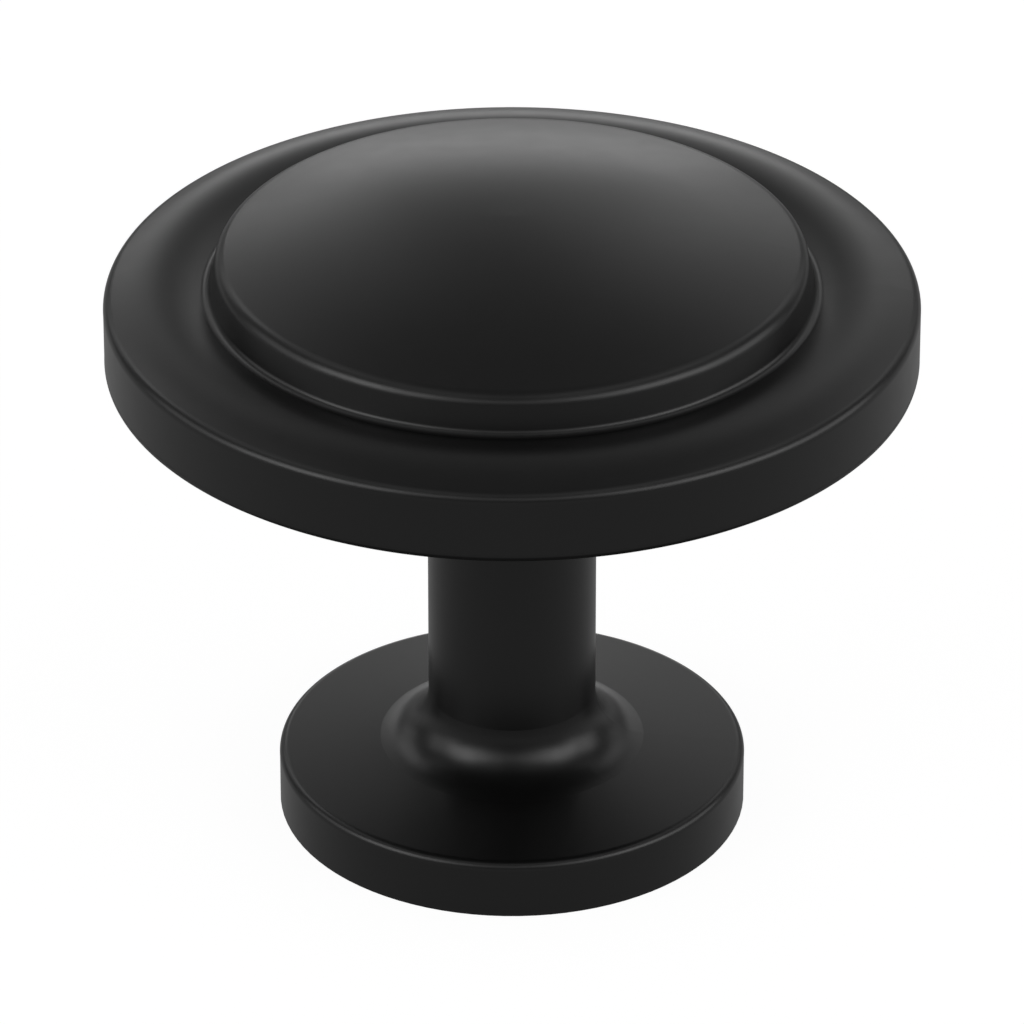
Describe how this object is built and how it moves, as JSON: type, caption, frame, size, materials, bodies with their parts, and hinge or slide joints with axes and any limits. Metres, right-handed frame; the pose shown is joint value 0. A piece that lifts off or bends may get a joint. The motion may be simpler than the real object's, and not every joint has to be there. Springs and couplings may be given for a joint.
{
  "type": "cabinet knob",
  "caption": "Round cabinet knob with a stepped, domed head on a slim stem and a flanged base, tapped from behind for a mounting screw, in matte black.",
  "frame": {"origin": "centre of the base's mounting face, on the axis of the screw hole", "axes": "+Z out of the drawer front, along the stem to the head; X and Y are free, because the knob is round"},
  "size_m": [0.032, 0.032, 0.0264],
  "materials": {
    "black_coat": "matte black stoved coat on a zinc die-casting"
  },
  "bodies": {
    "root": {"knob": "black_coat"}
  },
  "joints": []
}
